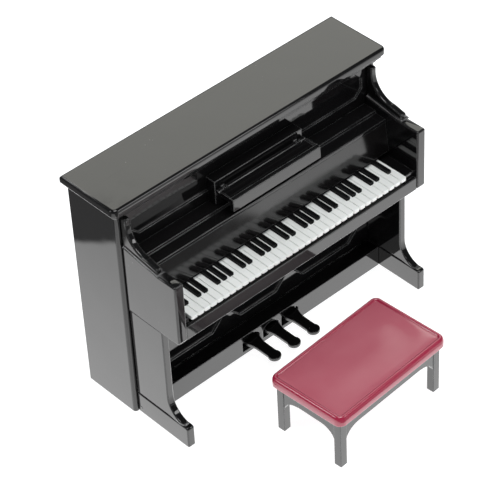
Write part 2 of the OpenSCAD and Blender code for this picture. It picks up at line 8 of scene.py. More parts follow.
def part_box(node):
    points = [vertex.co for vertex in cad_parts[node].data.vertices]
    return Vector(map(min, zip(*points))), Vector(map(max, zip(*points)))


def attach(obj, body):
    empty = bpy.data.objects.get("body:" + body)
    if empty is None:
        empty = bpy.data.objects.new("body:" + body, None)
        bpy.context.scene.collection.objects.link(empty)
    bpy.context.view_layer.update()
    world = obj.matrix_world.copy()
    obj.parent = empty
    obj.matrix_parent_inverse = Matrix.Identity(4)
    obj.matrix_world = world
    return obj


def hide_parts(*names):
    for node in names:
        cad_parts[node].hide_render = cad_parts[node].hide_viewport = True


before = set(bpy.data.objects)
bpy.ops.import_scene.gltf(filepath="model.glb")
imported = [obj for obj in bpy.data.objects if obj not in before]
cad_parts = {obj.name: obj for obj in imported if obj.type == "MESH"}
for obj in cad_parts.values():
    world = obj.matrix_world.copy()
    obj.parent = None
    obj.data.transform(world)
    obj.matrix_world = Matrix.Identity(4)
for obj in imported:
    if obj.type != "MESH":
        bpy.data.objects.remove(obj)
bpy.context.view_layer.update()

# --- Camera and studio -------------------------------------------------------------
# The set stands on a white light table a little larger than itself. A long lens looks
# down on it from the left front, and a tall white panel stands behind it to the right.
mm = 0.001
scene = bpy.context.scene
scene.view_settings.view_transform = "Standard"
scene.view_settings.look = "None"

camera_place = Vector((-409.28, -482.52, 581.46)) * mm
camera_azimuth = math.radians(-40.937)
camera_height = math.radians(41.316)
camera_roll = math.radians(-3.131)
camera_back = Vector((
    math.sin(camera_azimuth) * math.cos(camera_height),
    -math.cos(camera_azimuth) * math.cos(camera_height),
    math.sin(camera_height),
))
level_right = Vector((0, 0, 1)).cross(camera_back).normalized()
level_up = camera_back.cross(level_right)
camera_right = level_right * math.cos(camera_roll) + level_up * math.sin(camera_roll)
camera_up = level_up * math.cos(camera_roll) - level_right * math.sin(camera_roll)
camera = bpy.data.objects.new("camera", bpy.data.cameras.new("camera"))
camera.data.lens = 170.0
camera.data.sensor_width = 36.0
camera.data.shift_x = -0.00704
camera.data.shift_y = 0.01966
camera.data.clip_start = 0.01
camera.matrix_world = Matrix((
    (camera_right.x, camera_up.x, camera_back.x, camera_place.x),
    (camera_right.y, camera_up.y, camera_back.y, camera_place.y),
    (camera_right.z, camera_up.z, camera_back.z, camera_place.z),
    (0, 0, 0, 1),
))
scene.collection.objects.link(camera)
scene.camera = camera


def studio_light(name, place, aim, width, height, watts, tint=(1, 1, 1)):
    """A rectangular softbox at a place, facing a point."""
    lamp = bpy.data.lights.new(name, "AREA")
    lamp.shape = "RECTANGLE"
    lamp.size, lamp.size_y = width, height
    lamp.energy = watts
    lamp.color = tint
    holder = bpy.data.objects.new(name, lamp)
    facing = (Vector(aim) - Vector(place)).to_track_quat("-Z", "Y")
    holder.matrix_world = Matrix.Translation(Vector(place)) @ facing.to_matrix().to_4x4()
    scene.collection.objects.link(holder)


studio_light("back_panel_light", (0.50, 0.54, 0.60), (0.0, 0.0, 0.08), 1.1, 0.25, 2.15,
             tint=(1.0, 1.0, 0.93))
studio_light("top_light", (-0.05, -0.16, 0.80), (0.0, -0.03, 0.04), 0.42, 0.42, 3.3)
studio_light("front_light", (0.30, -0.52, 0.42), (0.0, -0.02, 0.05), 0.16, 0.16, 0.5)
studio_light("left_light", (-0.62, 0.30, 0.46), (-0.02, -0.02, 0.05), 0.10, 0.40, 0.9)

world = bpy.data.worlds.new("studio_room")
scene.world = world
world.use_nodes = True
room = world.node_tree
room.nodes.clear()
room_light = room.nodes.new("ShaderNodeBackground")
room_light.inputs["Color"].default_value = (0.93, 0.96, 1.0, 1)
room_path = room.nodes.new("ShaderNodeLightPath")
room_glossy = room.nodes.new("ShaderNodeMapRange")
room_glossy.inputs["To Min"].default_value = 0.42
room_glossy.inputs["To Max"].default_value = 0.09
room_seen = room.nodes.new("ShaderNodeMapRange")
room_seen.inputs["To Max"].default_value = 1.2
room_out = room.nodes.new("ShaderNodeOutputWorld")
room.links.new(room_path.outputs["Is Glossy Ray"], room_glossy.inputs["Value"])
room.links.new(room_path.outputs["Is Camera Ray"], room_seen.inputs["Value"])
room.links.new(room_glossy.outputs["Result"], room_seen.inputs["To Min"])
room.links.new(room_seen.outputs["Result"], room_light.inputs["Strength"])
room.links.new(room_light.outputs["Background"], room_out.inputs["Surface"])

# The table: pale and almost white, glowing evenly where the set stands, and darker in
# reflections past the edge of the lit part.
table_top = bmesh.new()
bmesh.ops.create_grid(table_top, x_segments=1, y_segments=1, size=3.0)
bmesh.ops.translate(table_top, verts=table_top.verts, vec=(0, 0, -0.00005))
table_mesh = bpy.data.meshes.new("table_top")
table_top.to_mesh(table_mesh)
table_top.free()
table = bpy.data.objects.new("table_top", table_mesh)
scene.collection.objects.link(table)

table_white = bpy.data.materials.new("white_table")
table_white.use_nodes = True
tree = table_white.node_tree
tree.nodes.clear()
place = tree.nodes.new("ShaderNodeTexCoord")
sheet_edge = tree.nodes.new("ShaderNodeVectorMath")
sheet_edge.operation = "DOT_PRODUCT"
sheet_edge.inputs[1].default_value = (-0.74, 0.67, 0)
lit = tree.nodes.new("ShaderNodeMapRange")
lit.interpolation_type = "SMOOTHSTEP"
lit.inputs["From Min"].default_value = 0.1235
lit.inputs["From Max"].default_value = 0.1275
lit.inputs["To Min"].default_value = 1.0
lit.inputs["To Max"].default_value = 0.0
spread = tree.nodes.new("ShaderNodeVectorMath")
spread.operation = "DISTANCE"
spread.inputs[1].default_value = (0.02, -0.03, 0)
falloff = tree.nodes.new("ShaderNodeMapRange")
falloff.interpolation_type = "SMOOTHSTEP"
falloff.inputs["From Min"].default_value = 0.03
falloff.inputs["From Max"].default_value = 0.26
falloff.inputs["To Min"].default_value = 2.3
falloff.inputs["To Max"].default_value = 1.1
split = tree.nodes.new("ShaderNodeSeparateXYZ")
tree.links.new(place.outputs["Object"], split.inputs["Vector"])
near_end = tree.nodes.new("ShaderNodeMapRange")
near_end.interpolation_type = "SMOOTHSTEP"
near_end.inputs["From Min"].default_value = -0.118
near_end.inputs["From Max"].default_value = -0.112
tree.links.new(split.outputs["Y"], near_end.inputs["Value"])
right_end = tree.nodes.new("ShaderNodeMapRange")
right_end.interpolation_type = "SMOOTHSTEP"
right_end.inputs["From Min"].default_value = 0.062
right_end.inputs["From Max"].default_value = 0.067
tree.links.new(split.outputs["X"], right_end.inputs["Value"])
on_sheet = tree.nodes.new("ShaderNodeMath")
on_sheet.operation = "MAXIMUM"
tree.links.new(near_end.outputs["Result"], on_sheet.inputs[0])
tree.links.new(right_end.outputs["Result"], on_sheet.inputs[1])
sheet = tree.nodes.new("ShaderNodeMath")
sheet.operation = "MULTIPLY"
tree.links.new(lit.outputs["Result"], sheet.inputs[0])
tree.links.new(on_sheet.outputs[0], sheet.inputs[1])
glow = tree.nodes.new("ShaderNodeMath")
glow.operation = "MULTIPLY_ADD"
glow.inputs[2].default_value = 0.25
tree.links.new(place.outputs["Object"], sheet_edge.inputs[0])
tree.links.new(sheet_edge.outputs["Value"], lit.inputs["Value"])
tree.links.new(place.outputs["Object"], spread.inputs[0])
tree.links.new(spread.outputs["Value"], falloff.inputs["Value"])
tree.links.new(sheet.outputs[0], glow.inputs[0])
tree.links.new(falloff.outputs["Result"], glow.inputs[1])
mirrored = tree.nodes.new("ShaderNodeEmission")
tree.links.new(glow.outputs[0], mirrored.inputs["Strength"])
paper = tree.nodes.new("ShaderNodeBsdfDiffuse")
paper.inputs["Color"].default_value = (0.42, 0.43, 0.44, 1)
backlit = tree.nodes.new("ShaderNodeEmission")
backlit.inputs["Strength"].default_value = 0.93
seen = tree.nodes.new("ShaderNodeAddShader")
tree.links.new(paper.outputs["BSDF"], seen.inputs[0])
tree.links.new(backlit.outputs["Emission"], seen.inputs[1])
path = tree.nodes.new("ShaderNodeLightPath")
choose = tree.nodes.new("ShaderNodeMixShader")
tree.links.new(path.outputs["Is Glossy Ray"], choose.inputs["Fac"])
tree.links.new(seen.outputs[0], choose.inputs[1])
tree.links.new(mirrored.outputs["Emission"], choose.inputs[2])
table_out = tree.nodes.new("ShaderNodeOutputMaterial")
tree.links.new(choose.outputs["Shader"], table_out.inputs["Surface"])
table_mesh.materials.append(table_white)

# --- Case sides --------------------------------------------------------------------
# Two tall plates of gloss black styrene, moulded flat, with a full round bead down the
# front edge. Everything black on the set is the same plastic.


def shader_group(name, inputs, outputs):
    """An empty shader node group with the given sockets, and its two end nodes."""
    group = bpy.data.node_groups.new(name, "ShaderNodeTree")
    for label, kind, value in inputs:
        socket = group.interface.new_socket(label, in_out="INPUT", socket_type=kind)
        if value is not None:
            socket.default_value = value
    for label, kind in outputs:
        group.interface.new_socket(label, in_out="OUTPUT", socket_type=kind)
    return group, group.nodes.new("NodeGroupInput"), group.nodes.new("NodeGroupOutput")


def math_node(group, operation, first, second=None, third=None):
    """A Math node fed from sockets or plain numbers; returns its output."""
    node = group.nodes.new("ShaderNodeMath")
    node.operation = operation
    for slot, value in enumerate((first, second, third)):
        if value is None:
            continue
        if isinstance(value, (int, float)):
            node.inputs[slot].default_value = value
        else:
            group.links.new(value, node.inputs[slot])
    return node.outputs[0]


def noise_node(group, vector, scale, detail=2.0, roughness=0.5, distortion=0.0):
    """A Noise texture on a vector socket; scale is a number or a socket."""
    node = group.nodes.new("ShaderNodeTexNoise")
    group.links.new(vector, node.inputs["Vector"])
    if isinstance(scale, (int, float)):
        node.inputs["Scale"].default_value = scale
    else:
        group.links.new(scale, node.inputs["Scale"])
    node.inputs["Detail"].default_value = detail
    node.inputs["Roughness"].default_value = roughness
    node.inputs["Distortion"].default_value = distortion
    return node.outputs["Fac"]


# Moulded skin: long shallow waves where the plastic shrank, and a finer orange peel.
mould_skin, skin_in, skin_out = shader_group(
    "mould_skin",
    [("Vector", "NodeSocketVector", None), ("Wave Scale", "NodeSocketFloat", 55.0),
     ("Wave Depth", "NodeSocketFloat", 1.0), ("Peel Scale", "NodeSocketFloat", 900.0),
     ("Peel Depth", "NodeSocketFloat", 0.05)],
    [("Height", "NodeSocketFloat")])
waves = noise_node(mould_skin, skin_in.outputs["Vector"], skin_in.outputs["Wave Scale"], 1.0, 0.4)
peel = noise_node(mould_skin, skin_in.outputs["Vector"], skin_in.outputs["Peel Scale"], 2.0, 0.5)
deep = math_node(mould_skin, "MULTIPLY", waves, skin_in.outputs["Wave Depth"])
mould_skin.links.new(
    math_node(mould_skin, "MULTIPLY_ADD", peel, skin_in.outputs["Peel Depth"], deep),
    skin_out.inputs["Height"])

# Handling: soft smears, thin hairlines in two directions and a few dust specks.
handling, hand_in, hand_out = shader_group(
    "handling_marks",
    [("Vector", "NodeSocketVector", None), ("Smears", "NodeSocketFloat", 0.5),
     ("Hairlines", "NodeSocketFloat", 0.5), ("Dust", "NodeSocketFloat", 0.5)],
    [("Rough", "NodeSocketFloat"), ("Dust", "NodeSocketFloat"), ("Scratch", "NodeSocketFloat")])
smear = noise_node(handling, hand_in.outputs["Vector"], 120.0, 4.0, 0.6, 0.8)
smear_mask = handling.nodes.new("ShaderNodeMapRange")
smear_mask.inputs["From Min"].default_value = 0.45
smear_mask.inputs["From Max"].default_value = 0.75
handling.links.new(smear, smear_mask.inputs["Value"])
hairs = None
for turn, stretch in ((0.5, (40.0, 2600.0, 300.0)), (-0.9, (2400.0, 45.0, 260.0))):
    turned = handling.nodes.new("ShaderNodeMapping")
    turned.inputs["Rotation"].default_value = (0.3, turn, turn)
    turned.inputs["Scale"].default_value = stretch
    handling.links.new(hand_in.outputs["Vector"], turned.inputs["Vector"])
    lines = noise_node(handling, turned.outputs["Vector"], 1.0, 1.0, 0.5)
    thin = handling.nodes.new("ShaderNodeMapRange")
    thin.inputs["From Min"].default_value = 0.70
    thin.inputs["From Max"].default_value = 0.80
    handling.links.new(lines, thin.inputs["Value"])
    hairs = thin.outputs["Result"] if hairs is None else math_node(
        handling, "MAXIMUM", hairs, thin.outputs["Result"])
specks = handling.nodes.new("ShaderNodeTexVoronoi")
specks.inputs["Scale"].default_value = 420.0
handling.links.new(hand_in.outputs["Vector"], specks.inputs["Vector"])
speck_mask = handling.nodes.new("ShaderNodeMapRange")
speck_mask.inputs["From Min"].default_value = 0.075
speck_mask.inputs["From Max"].default_value = 0.03
handling.links.new(specks.outputs["Distance"], speck_mask.inputs["Value"])
sparse = handling.nodes.new("ShaderNodeMapRange")
sparse.inputs["From Min"].default_value = 0.62
sparse.inputs["From Max"].default_value = 0.66
handling.links.new(noise_node(handling, hand_in.outputs["Vector"], 90.0), sparse.inputs["Value"])
dust = math_node(handling, "MULTIPLY", speck_mask.outputs["Result"], sparse.outputs["Result"])
dust = math_node(handling, "MULTIPLY", dust, hand_in.outputs["Dust"])
smears = math_node(handling, "MULTIPLY", smear_mask.outputs["Result"], hand_in.outputs["Smears"])
scratch = math_node(handling, "MULTIPLY", hairs, hand_in.outputs["Hairlines"])
handling.links.new(math_node(handling, "MULTIPLY_ADD", scratch, 0.6, smears),
                   hand_out.inputs["Rough"])
handling.links.new(dust, hand_out.inputs["Dust"])
handling.links.new(scratch, hand_out.inputs["Scratch"])

# Painted edge highlight and wear: a mask along every corner, found by comparing the
# surface with a rounded one, broken up so the marks come and go. The paler colour that
# it mixes in paints a highlight on the edges, and also stands for wear from rubbing.
edge_highlight_and_wear, highlight_wear_in, highlight_wear_out = shader_group(
    "edge_highlight_and_wear",
    [("Vector", "NodeSocketVector", None), ("Amount", "NodeSocketFloat", 0.5)],
    [("Mask", "NodeSocketFloat")])
rounded = edge_highlight_and_wear.nodes.new("ShaderNodeBevel")
rounded.samples = 6
rounded.inputs["Radius"].default_value = 0.42 * mm
facing = edge_highlight_and_wear.nodes.new("ShaderNodeNewGeometry")
turned_by = edge_highlight_and_wear.nodes.new("ShaderNodeVectorMath")
turned_by.operation = "DOT_PRODUCT"
edge_highlight_and_wear.links.new(rounded.outputs["Normal"], turned_by.inputs[0])
edge_highlight_and_wear.links.new(facing.outputs["True Normal"], turned_by.inputs[1])
corner = edge_highlight_and_wear.nodes.new("ShaderNodeMapRange")
corner.inputs["From Min"].default_value = 0.995
corner.inputs["From Max"].default_value = 0.90
edge_highlight_and_wear.links.new(turned_by.outputs["Value"], corner.inputs["Value"])
patchy = edge_highlight_and_wear.nodes.new("ShaderNodeMapRange")
patchy.inputs["From Min"].default_value = 0.35
patchy.inputs["From Max"].default_value = 0.62
patchy.inputs["To Min"].default_value = 0.35
highlight_wear_here = noise_node(edge_highlight_and_wear, highlight_wear_in.outputs["Vector"], 150.0, 3.0)
edge_highlight_and_wear.links.new(highlight_wear_here, patchy.inputs["Value"])
highlight_and_wear = math_node(edge_highlight_and_wear, "MULTIPLY", corner.outputs["Result"], patchy.outputs["Result"])
edge_highlight_and_wear.links.new(math_node(edge_highlight_and_wear, "MULTIPLY", highlight_and_wear, highlight_wear_in.outputs["Amount"]),
                    highlight_wear_out.inputs["Mask"])


def plastic(name, colour, shade, rough, rough_more, waves=(55.0, 1.0), peel=(900.0, 0.05),
            bump=0.06, smears=0.5, hairlines=0.5, dust=0.6, specular=0.5,
            highlight_wear_colour=(0.30, 0.30, 0.30), highlight_wear_amount=0.7, mirrored=None):
    """A moulded plastic: its colour drifts towards shade, and it is marked by handling.

    waves and peel are each a scale and a depth, bump is the relief in millimetres, rub is
    the colour painted along the edges, a painted highlight that also stands for wear from
    rubbing, rubbed is how much of it, and mirrored is a painted reflection: the colour that
    glossy rays see in place of the colour.
    """
    material = bpy.data.materials.new(name)
    material.use_nodes = True
    tree = material.node_tree
    bsdf = tree.nodes["Principled BSDF"]
    bsdf.inputs["Specular IOR Level"].default_value = specular
    place = tree.nodes.new("ShaderNodeTexCoord")
    vector = place.outputs["Object"]

    marks = tree.nodes.new("ShaderNodeGroup")
    marks.node_tree = handling
    marks.inputs["Smears"].default_value = smears
    marks.inputs["Hairlines"].default_value = hairlines
    marks.inputs["Dust"].default_value = dust
    tree.links.new(vector, marks.inputs["Vector"])
    edge = tree.nodes.new("ShaderNodeGroup")
    edge.node_tree = edge_highlight_and_wear
    edge.inputs["Amount"].default_value = highlight_wear_amount
    tree.links.new(vector, edge.inputs["Vector"])

    drift = tree.nodes.new("ShaderNodeMix")
    drift.data_type = "RGBA"
    drift.inputs["A"].default_value = (*colour, 1)
    drift.inputs["B"].default_value = (*shade, 1)
    tree.links.new(noise_node(tree, vector, 38.0, 2.0), drift.inputs["Factor"])
    dusty = tree.nodes.new("ShaderNodeMix")
    dusty.data_type = "RGBA"
    dusty.inputs["B"].default_value = (0.42, 0.41, 0.39, 1)
    tree.links.new(drift.outputs["Result"], dusty.inputs["A"])
    tree.links.new(marks.outputs["Dust"], dusty.inputs["Factor"])
    # painted highlight along the edges, also wear from rubbing: the edge mask mixes in the paler
    # edge colour
    highlighted_and_worn = tree.nodes.new("ShaderNodeMix")
    highlighted_and_worn.data_type = "RGBA"
    highlighted_and_worn.inputs["B"].default_value = (*highlight_wear_colour, 1)
    tree.links.new(dusty.outputs["Result"], highlighted_and_worn.inputs["A"])
    tree.links.new(edge.outputs["Mask"], highlighted_and_worn.inputs["Factor"])
    if mirrored:
        # painted reflection: glossy rays see a greyed colour in place of this colour, so the
        # black gloss around it shows a made-up reflection of it
        light_path = tree.nodes.new("ShaderNodeLightPath")
        greyed = tree.nodes.new("ShaderNodeMix")
        greyed.data_type = "RGBA"
        greyed.inputs["B"].default_value = (*mirrored, 1)
        tree.links.new(light_path.outputs["Is Glossy Ray"], greyed.inputs["Factor"])
        tree.links.new(highlighted_and_worn.outputs["Result"], greyed.inputs["A"])
        tree.links.new(greyed.outputs["Result"], bsdf.inputs["Base Color"])
    else:
        tree.links.new(highlighted_and_worn.outputs["Result"], bsdf.inputs["Base Color"])

    spread = math_node(tree, "ADD", marks.outputs["Rough"], edge.outputs["Mask"])
    roughness = math_node(tree, "MULTIPLY_ADD", spread, rough_more, rough)
    tree.links.new(roughness, bsdf.inputs["Roughness"])

    skin = tree.nodes.new("ShaderNodeGroup")
    skin.node_tree = mould_skin
    skin.inputs["Wave Scale"].default_value, skin.inputs["Wave Depth"].default_value = waves
    skin.inputs["Peel Scale"].default_value, skin.inputs["Peel Depth"].default_value = peel
    tree.links.new(vector, skin.inputs["Vector"])
    scratch_depth = -0.03
    relief = math_node(tree, "MULTIPLY_ADD", marks.outputs["Scratch"], scratch_depth,
                       skin.outputs["Height"])
    bumped = tree.nodes.new("ShaderNodeBump")
    bumped.inputs["Strength"].default_value = 1.0
    bumped.inputs["Distance"].default_value = bump * mm
    tree.links.new(relief, bumped.inputs["Height"])
    tree.links.new(bumped.outputs["Normal"], bsdf.inputs["Normal"])
    return material


gloss_black = plastic("gloss_black_styrene", (0.0036, 0.0036, 0.0040), (0.0062, 0.0060, 0.0060),
                      rough=0.035, rough_more=0.10, bump=0.08, peel=(700.0, 0.012))


def sharp_edges(bm, angle=30):
    """Edges of a mesh that turn by more than an angle."""
    return [e for e in bm.edges
            if len(e.link_faces) == 2 and e.calc_face_angle() > math.radians(angle)]


def round_off(bm, edges, radius, segments=3):
    """Rounds edges with a quarter circle of that radius, in millimetres.

    The bevel isn't clamped, because the short edges of a curve would clamp it to nothing.
    What that folds together is merged, and a gap it leaves is filled.
    """
    bmesh.ops.bevel(bm, geom=edges, offset=radius * mm, offset_type="OFFSET", segments=segments,
                    profile=0.5, affect="EDGES", clamp_overlap=False, material=-1)
    bmesh.ops.remove_doubles(bm, verts=bm.verts, dist=0.004 * mm)
    gaps = [e for e in bm.edges if e.is_boundary]
    if gaps:
        bmesh.ops.holes_fill(bm, edges=gaps, sides=8)


def block(bm, low, high):
    """A box between two corners, in millimetres; returns its vertices."""
    made = bmesh.ops.create_cube(bm, size=1.0)["verts"]
    low, high = Vector(low) * mm, Vector(high) * mm
    bmesh.ops.scale(bm, verts=made, vec=high - low)
    bmesh.ops.translate(bm, verts=made, vec=(low + high) / 2)
    return made


def corners(node):
    """A CAD node's lowest and highest corners in millimetres."""
    low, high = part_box(node)
    return low / mm, high / mm


def copy_of(node):
    """A CAD node's shape as a closed bmesh with its flat faces whole."""
    bm = bmesh.new()
    bm.from_mesh(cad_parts[node].data)
    bmesh.ops.remove_doubles(bm, verts=bm.verts, dist=0.002 * mm)
    bmesh.ops.dissolve_limit(bm, angle_limit=math.radians(0.6), verts=bm.verts, edges=bm.edges)
    bmesh.ops.dissolve_degenerate(bm, dist=0.09 * mm, edges=bm.edges)
    return bm


def piece(bm, name, body, finish, nodes=(), angle=40):
    """Makes the object, shades it, and hangs it on its body in place of its CAD nodes."""
    bmesh.ops.recalc_face_normals(bm, faces=bm.faces)
    mesh = bpy.data.meshes.new(name)
    bm.to_mesh(mesh)
    bm.free()
    mesh.shade_smooth()
    mesh.set_sharp_from_angle(angle=math.radians(angle))
    mesh.materials.append(finish)
    made = bpy.data.objects.new(name, mesh)
    scene.collection.objects.link(made)
    flat = made.modifiers.new("flat_faces", "WEIGHTED_NORMAL")
    flat.keep_sharp = True
    flat.weight = 90
    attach(made, body)
    if nodes:
        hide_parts(*nodes)


def uprights(edges, y):
    """Of some edges, those that stand upright in front of a depth in millimetres."""
    return [e for e in edges if abs(e.verts[0].co.z - e.verts[1].co.z) > 1 * mm
            and all(v.co.y < y * mm for v in e.verts)]


near = 0.1    # points closer than this to a face count as on it, in millimetres
side_bead_r = 1.35
side_edge_r = 0.3
for side in ("left", "right"):
    low, high = corners(side + "_side")
    bm = bmesh.new()
    block(bm, low, high)
    round_off(bm, uprights(bm.edges, low.y + near), side_bead_r, 6)
    round_off(bm, sharp_edges(bm), side_edge_r, 2)
    piece(bm, side + "_case_side", "case", gloss_black, [side + "_side"])

# --- Back, bottom board and front panels -------------------------------------------
# Flat styrene mouldings glued between the sides. The front ones carry sunk fields with
# cut corners; the one over the ledge runs behind the music desk.


def moulding(node, name, radius, segments=3, angle=50, body="case", finish=gloss_black):
    """A CAD node's shape with its edges rounded, as a piece that stands for the node."""
    bm = copy_of(node)
    round_off(bm, sharp_edges(bm, angle), radius, segments)
    piece(bm, name, body, finish, [node])


for node in ("back_panel", "bottom_board"):
    moulding(node, node + "_moulding", 0.2, segments=2, angle=30)
moulding("lower_panel", "lower_front", 0.28, angle=30)
moulding("upper_panel", "upper_front", 0.25, angle=30)

# --- Lid ---------------------------------------------------------------------------
# One hollow moulding: a slab with a round top edge over two stepped rims, and an ear at
# each back corner that turns on a short steel pin.
slab_t = 2.8
slab_corner_r = 2.2
slab_top_r = 1.1
slab_under_r = 0.3
hair = Vector((0.01, 0.01, 0.0))    # keeps the slab just inside the lid's box
low, high = corners("lid")
bm = bmesh.new()
block(bm, Vector((low.x, low.y, high.z - slab_t)) + hair, high - hair)
round_off(bm, uprights(bm.edges, 0), slab_corner_r, 7)
top_edges = [e for e in sharp_edges(bm) if all(v.co.z > (high.z - near) * mm for v in e.verts)]
round_off(bm, top_edges, slab_top_r, 6)
round_off(bm, sharp_edges(bm, 60), slab_under_r, 3)
piece(bm, "lid_slab", "lid_body", gloss_black, ["lid"])

rim_h = 1.6
rim_wall = 3.4
rim_insets = (1.05, 2.3)
rim_outer_r, rim_inner_r, rim_edge_r = 1.2, 0.6, 0.35


def rim_loop(bm, half_x, front, back, radius, z):
    """One level loop of a rim, round at its two front corners; returns its edges."""
    made = bmesh.ops.create_grid(bm, x_segments=1, y_segments=1, size=1.0)["verts"]
    bmesh.ops.scale(bm, verts=made, vec=(half_x * mm, (back - front) / 2 * mm, 1))
    bmesh.ops.translate(bm, verts=made, vec=(0, (front + back) / 2 * mm, z * mm))
    front_corners = [v for v in made if v.co.y < (front + near) * mm]
    bmesh.ops.bevel(bm, geom=front_corners, offset=radius * mm, offset_type="OFFSET",
                    segments=4, profile=0.5, affect="VERTICES", material=-1)
    cover = max((f for f in bm.faces if len(f.verts) > 4), key=lambda f: f.calc_area())
    loop = list(cover.edges)
    bmesh.ops.delete(bm, geom=[cover], context="FACES_ONLY")
    return loop


for step, inset in enumerate(rim_insets):
    top_z = high.z - slab_t - step * rim_h
    bm = bmesh.new()
    loops = [rim_loop(bm, high.x - inset - wall, low.y + inset + wall, high.y - wall, radius, z)
             for wall, radius, z in ((0, rim_outer_r, top_z - rim_h), (0, rim_outer_r, top_z),
                                     (rim_wall, rim_inner_r, top_z),
                                     (rim_wall, rim_inner_r, top_z - rim_h))]
    for one, next_one in zip(loops, loops[1:] + loops[:1]):
        bmesh.ops.bridge_loops(bm, edges=one + next_one)
    bmesh.ops.recalc_face_normals(bm, faces=bm.faces)
    round_off(bm, sharp_edges(bm, 50), rim_edge_r, 3)
    piece(bm, "lid_rim_%d" % (step + 1), "lid_body", gloss_black)

ear_w, ear_r, ear_edge_r = 4.0, 1.2, 0.15
ear_gap = 0.4                       # between an ear and the case side next to it
lid_pin_y, lid_pin_z = 11.0, 86.9
ear_outer_x = corners("right_side")[0].x - ear_gap
for which, sign in (("left", -1), ("right", 1)):
    x_low, x_high = sorted((sign * ear_outer_x, sign * (ear_outer_x - ear_w)))
    bm = bmesh.new()
    at_pin = Matrix.Translation(Vector(((x_low + x_high) / 2, lid_pin_y, lid_pin_z)) * mm)
    along_pin = at_pin @ Matrix.Rotation(math.radians(90), 4, "Y")
    bmesh.ops.create_cone(bm, cap_ends=True, segments=40, radius1=ear_r * mm,
                          radius2=ear_r * mm, depth=ear_w * mm, matrix=along_pin)
    block(bm, (x_low, lid_pin_y - ear_r, lid_pin_z + 0.1),
          (x_high, lid_pin_y + ear_r, high.z - slab_t))
    round_off(bm, sharp_edges(bm, 60), ear_edge_r, 2)
    piece(bm, "lid_ear_" + which, "lid_body", gloss_black)

# --- Pins --------------------------------------------------------------------------
# Cut lengths of bright steel wire for the lid, the music desk and the pedals, with the
# fine lines along them that drawing the wire leaves.
wire = bpy.data.materials.new("steel_wire")
wire.use_nodes = True
tree = wire.node_tree
bsdf = tree.nodes["Principled BSDF"]
bsdf.inputs["Metallic"].default_value = 1.0
place = tree.nodes.new("ShaderNodeTexCoord")
drawn = tree.nodes.new("ShaderNodeMapping")
drawn.inputs["Scale"].default_value = (60, 5200, 5200)
tree.links.new(place.outputs["Object"], drawn.inputs["Vector"])
streaks = noise_node(tree, drawn.outputs["Vector"], 1.0, 2.0)
tint = tree.nodes.new("ShaderNodeMix")
tint.data_type = "RGBA"
tint.inputs["A"].default_value = (0.50, 0.50, 0.51, 1)
tint.inputs["B"].default_value = (0.66, 0.65, 0.63, 1)
tree.links.new(streaks, tint.inputs["Factor"])
tree.links.new(tint.outputs["Result"], bsdf.inputs["Base Color"])
tree.links.new(math_node(tree, "MULTIPLY_ADD", streaks, 0.2, 0.2), bsdf.inputs["Roughness"])
for node in ("lid_pins", "desk_pin", "pedal_pin"):
    for slot_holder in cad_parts[node].material_slots:
        slot_holder.material = wire

# --- Plinth and toe blocks ---------------------------------------------------------
# The plinth closes the foot of the case between the toe blocks; three arches let the
# pedals through. Each toe block is a short thick foot with a round nose.
moulding("plinth", "plinth_moulding", 0.28)
for side in ("left", "right"):
    moulding(side + "_toe", side + "_toe_block", 0.6, segments=4)


def moulders_mark(name, body, finish, place, base_r, face_r, height, sides):
    """A low round mark on a face that looks towards -X, moved to its place by a matrix."""
    bm = bmesh.new()
    bmesh.ops.create_cone(bm, cap_ends=True, segments=sides, radius1=base_r * mm,
                          radius2=face_r * mm, depth=height * mm)
    round_off(bm, sharp_edges(bm, 50), 0.05, 2)
    bmesh.ops.transform(bm, verts=bm.verts,
                        matrix=place @ Matrix.Rotation(math.radians(-90), 4, "Y"))
    piece(bm, name, body, finish)


# The round mark of the mould's gate, low on the outside of the left toe block.
gate_y, gate_z, gate_sunk = -13.9, 2.4, 0.03
at_gate = Matrix.Translation(Vector((corners("left_toe")[0].x - gate_sunk, gate_y, gate_z)) * mm)
moulders_mark("left_toe_gate_mark", "case", gloss_black, at_gate, 0.75, 0.62, 0.16, 24)

# --- Leg panels --------------------------------------------------------------------
# Thin uprights under the key arms that sweep forward over the toe blocks.
for side in ("left", "right"):
    moulding(side + "_leg", side + "_leg_panel", 0.5, segments=4)

# --- Key arms ----------------------------------------------------------------------
# A thick block beside the keys with a thinner scroll on top that climbs to the lid.
for side in ("left", "right"):
    moulding(side + "_cheek", side + "_key_arm", 0.7, segments=4)

# --- Key bed, key slip and key blocks ----------------------------------------------
# The shelf under the keyboard, the rounded rail in front of it and the block that fills
# the space beside the last key at each end.
for node, radius in (("key_bed", 0.2), ("key_slip", 0.35), ("key_frame", 0.2),
                     ("left_key_block", 0.3), ("right_key_block", 0.3)):
    moulding(node, node + "_moulding", radius)

# --- White keys --------------------------------------------------------------------
# Thirty-five keys in one white moulding, each with a soft top edge and a rounded front
# lip, parted by narrow grooves and joined by a web below them.
key_white = plastic("white_key_styrene", (0.88, 0.895, 0.87), (0.80, 0.82, 0.80), rough=0.16,
                    rough_more=0.2, bump=0.05, smears=0.4, hairlines=0.25, dust=0.25,
                    highlight_wear_colour=(0.92, 0.92, 0.90), highlight_wear_amount=0.3)
white_count = 35
groove_w = 0.2
key_nose_r = 0.6
key_top_r = 0.2


def edges_at(verts):
    """All edges that touch some vertices."""
    return {e for v in verts for e in v.link_edges}


